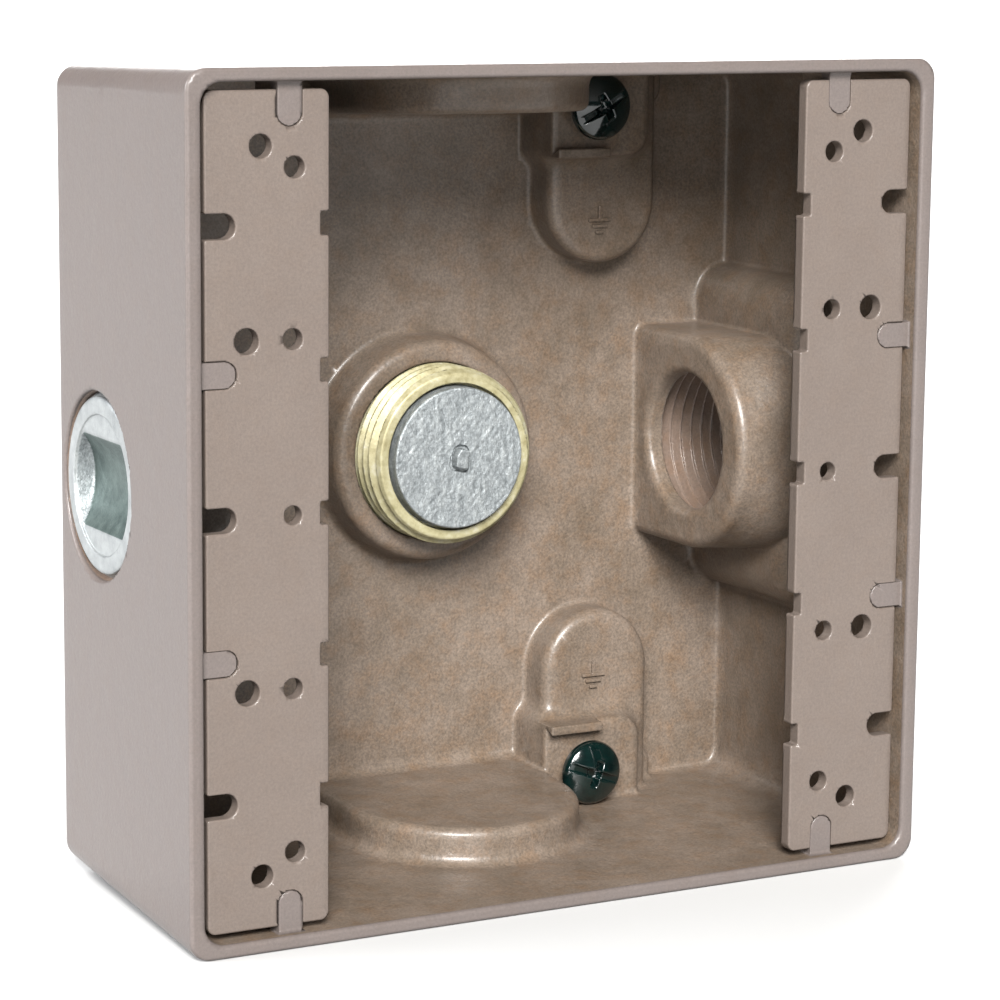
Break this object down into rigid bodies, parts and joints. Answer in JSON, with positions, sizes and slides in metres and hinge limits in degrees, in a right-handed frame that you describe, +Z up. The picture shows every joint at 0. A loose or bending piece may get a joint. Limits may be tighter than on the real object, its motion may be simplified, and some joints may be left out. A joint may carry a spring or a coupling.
{
  "type": "electrical junction box",
  "caption": "Open-fronted two-gang die-cast electrical box with threaded hubs, screwed closure plugs, drilled device mounting strips and ground screws.",
  "frame": {"origin": "middle of the underside of the bounding box", "axes": "+X to the right seen from the open front, -Y out of the open front, +Z up"},
  "size_m": [0.1142, 0.0508, 0.1159],
  "materials": {
    "casting_paint": "satin bronze-taupe powder coat over a sandy die casting",
    "strip_paint": "satin bronze-taupe powder coat",
    "plug_zinc": "plated zinc die casting, matt cast ends and bright threads",
    "ground_green": "gloss dark green"
  },
  "bodies": {
    "box": {"box_casting": "casting_paint", "left_mounting_strip": "strip_paint", "right_mounting_strip": "strip_paint"},
    "left_plug": {"left_closure_plug": "plug_zinc"},
    "back_plug": {"back_closure_plug": "plug_zinc"},
    "upper_screw": {"upper_ground_screw": "ground_green"},
    "lower_screw": {"lower_ground_screw": "ground_green"}
  },
  "joints": [
    {"name": "left_plug_unscrews", "type": "slide", "parent": "box", "child": "left_plug", "axis": [-1, 0, 0], "range_m": [0, 0.01814]},
    {"name": "back_plug_unscrews", "type": "slide", "parent": "box", "child": "back_plug", "axis": [0, 1, 0], "range_m": [0, 0.01814]},
    {"name": "upper_ground_screw_unscrews", "type": "slide", "parent": "box", "child": "upper_screw", "axis": [0, -1, 0], "range_m": [-0.00159, 0.00794]},
    {"name": "lower_ground_screw_unscrews", "type": "slide", "parent": "box", "child": "lower_screw", "axis": [0, -1, 0], "range_m": [-0.00159, 0.00794]}
  ]
}
